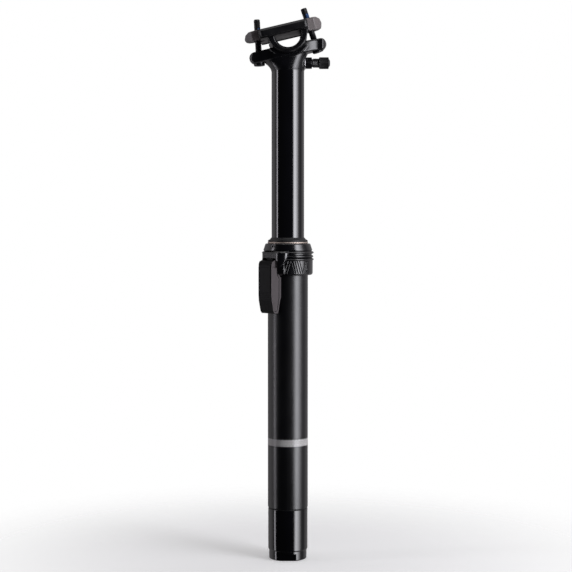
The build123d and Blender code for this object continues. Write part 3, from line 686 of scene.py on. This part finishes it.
def collar_turns():
    """Turns of the collar's columns in degrees from the lever, close together where the stripes are."""
    fine, coarse = 0.42, 0.9
    turns, turn = [], -180.0
    while turn < 180 - fine / 2:
        turns.append(turn)
        azimuth = from_camera_side(turn)
        away = min(abs((azimuth - middle + 180) % 360 - 180) for middle in ZIGZAG_ZONES)
        turn += fine if away < ZONE_HALF + 1 else coarse
    return np.array(turns)


def lever_recess():
    """The space for the lever's arm, whose back follows the collar's sleeve."""
    half, top, rounding, sleeve_r, out = 7.55, 232.9, 1.6, 16.4, 30.0
    rows = []
    for k in range(33):
        v = half * sin(pi * (k / 32 - 0.5))
        drop = max(0.0, abs(v) - (half - rounding))
        roof = top - rounding + sqrt(max(0.0, rounding ** 2 - drop ** 2))
        inner = sqrt(sleeve_r ** 2 - v * v)
        floor = COLLAR_LOW.z - 3
        rows.append([(inner, v, floor), (out, v, floor), (out, v, roof), (inner, v, roof)])
    points, faces = skin(rows)
    return make_object("lever_recess", points, faces, LEVER_FRAME)


def collar():
    """The collar as a field of radii round the axis, with the lever's recess and cavities cut out."""
    turns = collar_turns()
    heights = np.linspace(COLLAR_LOW.z, COLLAR_HIGH.z, 150)
    turn_grid, z_grid = np.meshgrid(turns, heights)
    radii = collar_radius(turn_grid, z_grid)
    spin = np.radians(turns + LEVER_AZIMUTH)
    around = list(zip(np.cos(spin), np.sin(spin)))
    rows = []
    for row, z in zip(radii, heights):
        rows.append([(r * c, r * s, z) for r, (c, s) in zip(row, around)])
    low, high = COLLAR_LOW.z, COLLAR_HIGH.z
    bore_r, wiper_seat, thread_low = 13.3, high - 4.5, TUBE_HIGH.z - THREAD_H
    bore = [(WIPER_R, high - 0.05), (WIPER_R, wiper_seat), (bore_r, wiper_seat), (bore_r, TUBE_HIGH.z),
            (THREAD_R, TUBE_HIGH.z), (THREAD_R, thread_low), (TUBE_R + 0.05, thread_low),
            (TUBE_R + 0.05, low + 0.4), (SKIRT_R - 1.6, low + 0.4)]
    for radius, z in bore:
        rows.append([(radius * c, radius * s, z) for c, s in around])
    points, faces = skin(rows, ring=True)
    item = make_object("collar_body", points, faces)
    pin_z = LEVER_PIN.z
    cavity = block("hub_cavity", (14.2, -5.5, pin_z - 3.9), (19.9, 5.5, pin_z + 2.9), LEVER_FRAME)
    toe_slot = block("toe_slot", (12.7, -2.1, pin_z - 5.0), (16.1, 2.1, pin_z + 2.3), LEVER_FRAME)
    screw = facing(LEVER_AZIMUTH + 5) @ Matrix.Translation((15.1, 0, high - 2.0)) @ FACE_TO_REAR
    carve(item, [lever_recess(), cavity, toe_slot, rod("screw_hole", 1.55, 0.2, 8, screw)])
    finish_piece(item, "outer", MATERIALS["collar_satin_black"], ["collar"], 40)


# ---------------------------------------------------------------- lever
def release_lever():
    """The lever, with softened edges."""
    item = cad_copy("release_lever", "release_lever_arm")
    soften(item, voxel=0.2, rounds=6)
    finish_piece(item, "lever", MATERIALS["lever_matte_black"], ["release_lever"], 80)


# ---------------------------------------------------------------- stanchion and head
def stanchion():
    """The polished tube, and the forged head that grows out of it."""
    bottom, end, core_r = STANCHION_LOW.z, GROUND_TOP + 0.2, 2.0
    profile = rounded([
        (STANCHION_BORE_R, bottom), (STANCHION_R, bottom, 0.5), (STANCHION_R, GROUND_TOP, 1.4),
        (10.6, end)], 0.2, steps=6)
    profile += [(core_r, end), (core_r, AIR_CHAMBER_TOP), (STANCHION_BORE_R, AIR_CHAMBER_TOP)]
    points, faces = lathe(profile, 180, ring=True)
    item = make_object("stanchion_tube", points, faces)
    gloss = MATERIALS["stanchion_gloss_black"]
    finish_piece(item, "stanchion", gloss, ["stanchion"])
    head = cad_copy("stanchion", "saddle_head", above=GROUND_TOP - 2.2)
    soften(head, voxel=0.27, rounds=14)
    finish_piece(head, "stanchion", FORGED_HEAD, ["stanchion"], 80)


def clamp():
    """Cradle and plate, with softened edges."""
    for node, name, slot in (("lower_cradle", "cradle_body", "clamp_satin_black"),
                             ("upper_clamp", "clamp_plate", "clamp_satin_grey")):
        item = cad_copy(node, name)
        soften(item, voxel=0.31, rounds=4)
        finish_piece(item, "clamp", MATERIALS[slot], [node], 80)


# ---------------------------------------------------------------- bolts and valve
def bolt_placing(seat, nut):
    """A frame at a washer's centre with +Z along the bolt towards its nut."""
    lean = atan2(nut.x - seat.x, nut.z - seat.z)
    return Matrix.Translation(seat) @ Matrix.Rotation(lean, 4, "Y")


def hexagon(radius, sides):
    """Points of a hexagon with flats at radius, as many as sides, a multiple of six."""
    points = []
    for angle in even_turns(sides):
        reach = radius / cos((angle % (pi / 3)) - pi / 6)
        points.append((reach * cos(angle), reach * sin(angle)))
    return points


def shaped_row(turns, z, reach):
    """A closed row at a height, whose radius at each turn is given by reach."""
    return [(reach(a) * cos(a), reach(a) * sin(a), z) for a in turns]


def thread_cut(z, turn, pitch, depth):
    """How deep a helical thread is cut at a height and a turn."""
    phase = (z / pitch - turn / FULL_TURN) % 1
    return depth * (1 - abs(2 * phase - 1))


def clamp_bolt(end, seat, nut, material):
    """A cap screw: knurled head with a hexagon socket, and a shank threaded from under the head."""
    sides, pitch, depth, shank_r, head_r = 48, 0.8, 0.32, 2.5, 4.25
    head_low, head_high, tip = -3.8, 1.2, 31.6
    socket_depth, socket_flat, knurl, tip_taper = 2.6, 1.9, 0.22, 0.35
    turns = even_turns(sides)
    rows = [[(x, y, head_low + socket_depth) for x, y in hexagon(socket_flat, sides)]]
    rows.append([(x, y, head_low) for x, y in hexagon(socket_flat + 0.1, sides)])
    head_rows = ((head_r - 0.7, head_low, 0), (head_r - 0.25, head_low + 0.15, 0),
                 (head_r, head_low + 0.6, 0), (head_r, head_low + 0.9, knurl),
                 (head_r, head_high - 0.6, knurl), (head_r, head_high - 0.3, 0),
                 (head_r - 0.3, head_high, 0))
    for radius, z, cut in head_rows:
        radii = [radius - cut * (i % 2) for i in range(sides)]
        rows.append([(r * cos(a), r * sin(a), z) for r, a in zip(radii, turns)])
    rows.append(shaped_row(turns, head_high, lambda a: shank_r * 0.93))
    steps = ceil((tip - head_high) / (pitch / 6))
    for k in range(1, steps + 1):
        z = head_high + (tip - head_high) * k / steps
        taper = tip_taper * (1 - min(1.0, (tip - z) / pitch))
        rows.append(shaped_row(turns, z, lambda a: shank_r - thread_cut(z, a, pitch, depth) - taper))
    points, faces = skin(rows)
    item = make_object(f"{end}_bolt_threaded", points, faces, bolt_placing(seat, nut))
    finish_piece(item, f"{end}_bolt", material, [f"{end}_clamp_bolt"], 35)


def valve():
    """Hexagon body with a grooved stub, a knurled cap, and the bright ring in the head's spot face."""
    turns = even_turns(96)
    axis_z = (VALVE_LOW.z + VALVE_HIGH.z) / 2
    along = Matrix.Translation((0, 0, axis_z)) @ FACE_TO_REAR

    def round_row(radius, x):
        return shaped_row(turns, x, lambda a: radius)

    def hex_row(x, corner, flat=4.2):
        """A hexagon with its corners turned down to a circle, flats up and down."""
        return shaped_row(turns, x, lambda a: min(flat / cos(((a + pi / 6) % (pi / 3)) - pi / 6), corner))

    bore_r, seat_r, stub_r = 2.2, 3.8, 3.6
    rows = [round_row(bore_r, VALVE_LOW.x), round_row(seat_r, VALVE_LOW.x), round_row(seat_r, 13.45)]
    rows += [hex_row(x, corner) for x, corner in ((13.5, 4.3), (13.9, 4.75), (17.9, 4.75), (18.3, 4.3))]
    neck = ((4.0, 18.4), (3.1, 18.55), (3.0, 18.9), (3.1, 19.25), (stub_r, 19.5))
    rows += [round_row(radius, x) for radius, x in neck]
    pitch, depth, start, end = 0.9, 0.3, 19.6, VALVE_HIGH.x - 0.4
    count = ceil((end - start) / (pitch / 6))
    for k in range(count + 1):
        x = start + (end - start) * k / count
        rows.append(shaped_row(turns, x, lambda a: stub_r - thread_cut(x, a, pitch, depth)))
    rows += [round_row(3.1, VALVE_HIGH.x), round_row(bore_r, VALVE_HIGH.x)]
    points, faces = skin(rows, ring=True)
    item = make_object("valve_stem", points, faces, along)
    finish_piece(item, "stanchion", MATERIALS["valve_black"], ["valve_body"], 30)

    knurls, cap_r, mouth, end = 24, VALVE_CAP_HIGH.y, VALVE_CAP_LOW.x, VALVE_CAP_HIGH.x

    def knurled_row(depth, x):
        return shaped_row(turns, x, lambda a: cap_r - depth * (0.5 - 0.5 * cos(a * knurls)) ** 0.7)

    inside_r = stub_r + 0.05
    rows = [round_row(inside_r, mouth + 4.8), round_row(inside_r, mouth), round_row(cap_r - 0.5, mouth)]
    for depth, x in ((0.05, 0.3), (0.38, 0.7), (0.38, 6.6), (0.05, 7.0)):
        rows.append(knurled_row(depth, mouth + x))
    crown = ((cap_r - 0.35, mouth + 7.35), (3.0, mouth + 7.45), (2.7, mouth + 7.9),
             (1.6, end - 0.1), (0.9, end))
    rows += [round_row(radius, x) for radius, x in crown]
    points, faces = skin(rows)
    item = make_object("valve_cap_knurled", points, faces, along)
    finish_piece(item, "stanchion", MATERIALS["cap_plastic"], ["valve_cap"], 30)

    inner, outer, low, high = 3.9, 4.95, SEAT_RING_LOW.x, SEAT_RING_HIGH.x
    lathed("valve_washer", [(inner, low), (outer, low), (outer, high, 0.4), (inner, high)],
           "stanchion", "bare_aluminium", "valve_seat_ring", 0.1, 96, along)


# ---------------------------------------------------------------- studio
LIGHT_HEIGHT, LIGHT_TALL = 0.30, 1.5
SOFTBOX_STEPS = ((51, 0.25, 1.9), (54, 0.50, 2.2), (57, 0.78, 1.9))     # azimuth, width and radiance
COOL_WHITE, WARM_WHITE = (0.95, 0.95, 1.0), (0.96, 0.93, 1.0)
# azimuth from the camera side in degrees, and radiance of the wall there
WALLS = ((-180, 0.2), (-150, 0.22), (-127, 0.36), (-113, 0.38), (-96, 0.28), (-92, 0.01), (60, 0.01),
         (80, 0.5), (93, 0.18), (104, 0.14), (118, 0.34), (140, 0.42), (165, 0.3), (180, 0.2))


def area_light(name, azimuth, distance, width, radiance, colour):
    """A tall softbox at an azimuth from the camera side, facing the post's axis."""
    height, tall = LIGHT_HEIGHT, LIGHT_TALL
    light = bpy.data.lights.new(name, "AREA")
    light.shape = "RECTANGLE"
    light.size, light.size_y = width, tall
    light.energy = radiance * width * tall * pi
    light.color = colour
    item = bpy.data.objects.new(name, light)
    bpy.context.scene.collection.objects.link(item)
    turn = radians(azimuth)
    item.location = (distance * sin(turn), -distance * cos(turn), height)
    aim = Vector((0, 0, height)) - item.location
    item.rotation_euler = aim.to_track_quat("-Z", "Y").to_euler()
    item.visible_camera = False


def overhead_light():
    """A large soft light straight above."""
    light = bpy.data.lights.new("overhead", "AREA")
    light.shape = "RECTANGLE"
    light.size, light.size_y = 0.9, 0.9
    light.energy = 2.6
    item = bpy.data.objects.new("overhead", light)
    bpy.context.scene.collection.objects.link(item)
    item.location = (0.1, -0.1, 1.5)
    item.visible_camera = False


def studio_world():
    """White behind the object, and round it pale walls that are dark behind the camera."""
    world = bpy.data.worlds.new("studio")
    bpy.context.scene.world = world
    world.use_nodes = True
    tree = world.node_tree
    tree.nodes.clear()
    new, link = tree.nodes.new, tree.links.new
    split = new("ShaderNodeSeparateXYZ")
    link(new("ShaderNodeTexCoord").outputs["Generated"], split.inputs[0])
    away = new("ShaderNodeMath")
    away.operation = "MULTIPLY"
    link(split.outputs[1], away.inputs[0])
    away.inputs[1].default_value = -1
    azimuth = new("ShaderNodeMath")
    azimuth.operation = "ARCTAN2"
    link(split.outputs[0], azimuth.inputs[0])
    link(away.outputs[0], azimuth.inputs[1])
    share = new("ShaderNodeMath")
    share.operation = "MULTIPLY_ADD"
    link(azimuth.outputs[0], share.inputs[0])
    share.inputs[1].default_value = 1 / FULL_TURN
    share.inputs[2].default_value = 0.5
    ramp_node = new("ShaderNodeValToRGB")
    ramp = ramp_node.color_ramp
    while len(ramp.elements) < len(WALLS):
        ramp.elements.new(0.5)
    for stop, (place, value) in zip(ramp.elements, WALLS):
        stop.position = place / 360 + 0.5
        stop.color = (value, value * 0.97, value, 1)
    link(share.outputs[0], ramp_node.inputs[0])
    walls_light, backdrop = new("ShaderNodeBackground"), new("ShaderNodeBackground")
    link(ramp_node.outputs[0], walls_light.inputs["Color"])
    backdrop.inputs["Color"].default_value = (1, 1, 1, 1)
    choose, output = new("ShaderNodeMixShader"), new("ShaderNodeOutputWorld")
    link(new("ShaderNodeLightPath").outputs["Is Camera Ray"], choose.inputs[0])
    link(walls_light.outputs[0], choose.inputs[1])
    link(backdrop.outputs[0], choose.inputs[2])
    link(choose.outputs[0], output.inputs["Surface"])


def pale_floor():
    """A pale floor that fades out round the object."""
    points, faces = lathe([(0.5, 0), (120, 0), (240, 0), (460, 0)], 96)
    outer_cap = faces.pop()
    assert len(outer_cap) == 96
    floor = make_object("floor", points, faces)
    floor.location.z = -0.0002
    material = bpy.data.materials.new("pale_floor")
    material.use_nodes = True
    tree = material.node_tree
    surface = tree.nodes["Principled BSDF"]
    surface.inputs["Base Color"].default_value = (0.9, 0.9, 0.9, 1)
    surface.inputs["Roughness"].default_value = 0.7
    surface.inputs["Emission Color"].default_value = (1, 1, 1, 1)
    surface.inputs["Emission Strength"].default_value = 0.3
    distance = tree.nodes.new("ShaderNodeVectorMath")
    distance.operation = "LENGTH"
    tree.links.new(tree.nodes.new("ShaderNodeTexCoord").outputs["Object"], distance.inputs[0])
    fade = tree.nodes.new("ShaderNodeMapRange")
    fade.interpolation_type = "SMOOTHSTEP"
    for key, number in (("From Min", 0.06), ("From Max", 0.34), ("To Min", 1.0), ("To Max", 0.0)):
        fade.inputs[key].default_value = number
    tree.links.new(distance.outputs["Value"], fade.inputs["Value"])
    tree.links.new(fade.outputs[0], surface.inputs["Alpha"])
    floor.data.materials.append(material)
    floor.visible_glossy = False
    floor.visible_diffuse = False


def camera():
    """In front of the post's left side and a little above its middle, looking slightly down."""
    view = bpy.data.cameras.new("camera")
    view.lens = 95.2
    view.sensor_width = 36
    item = bpy.data.objects.new("camera", view)
    bpy.context.scene.collection.objects.link(item)
    item.location = (-0.001425, -1.165, 0.2616)
    item.rotation_euler = (radians(90 - 2.49), 0, 0)
    bpy.context.scene.camera = item
    bpy.context.scene.view_settings.view_transform = "Standard"


# ---------------------------------------------------------------- put together
camera()
studio_world()
for step, (azimuth, width, radiance) in enumerate(SOFTBOX_STEPS):
    area_light(f"softbox_right_{step}", azimuth, 1.0 + 0.03 * step, width, radiance, COOL_WHITE)
area_light("strip_left", -81, 1.0, 0.16, 3.2, WARM_WHITE)
overhead_light()
pale_floor()
paint_cad_nodes()
outer_tube()
bottom_cap()
seals()
collar()
release_lever()
stanchion()
clamp()
clamp_bolt("front", FRONT_SEAT, FRONT_NUT, FRONT_BOLT_STEEL)
clamp_bolt("rear", REAR_SEAT, REAR_NUT, REAR_BOLT_STEEL)
valve()
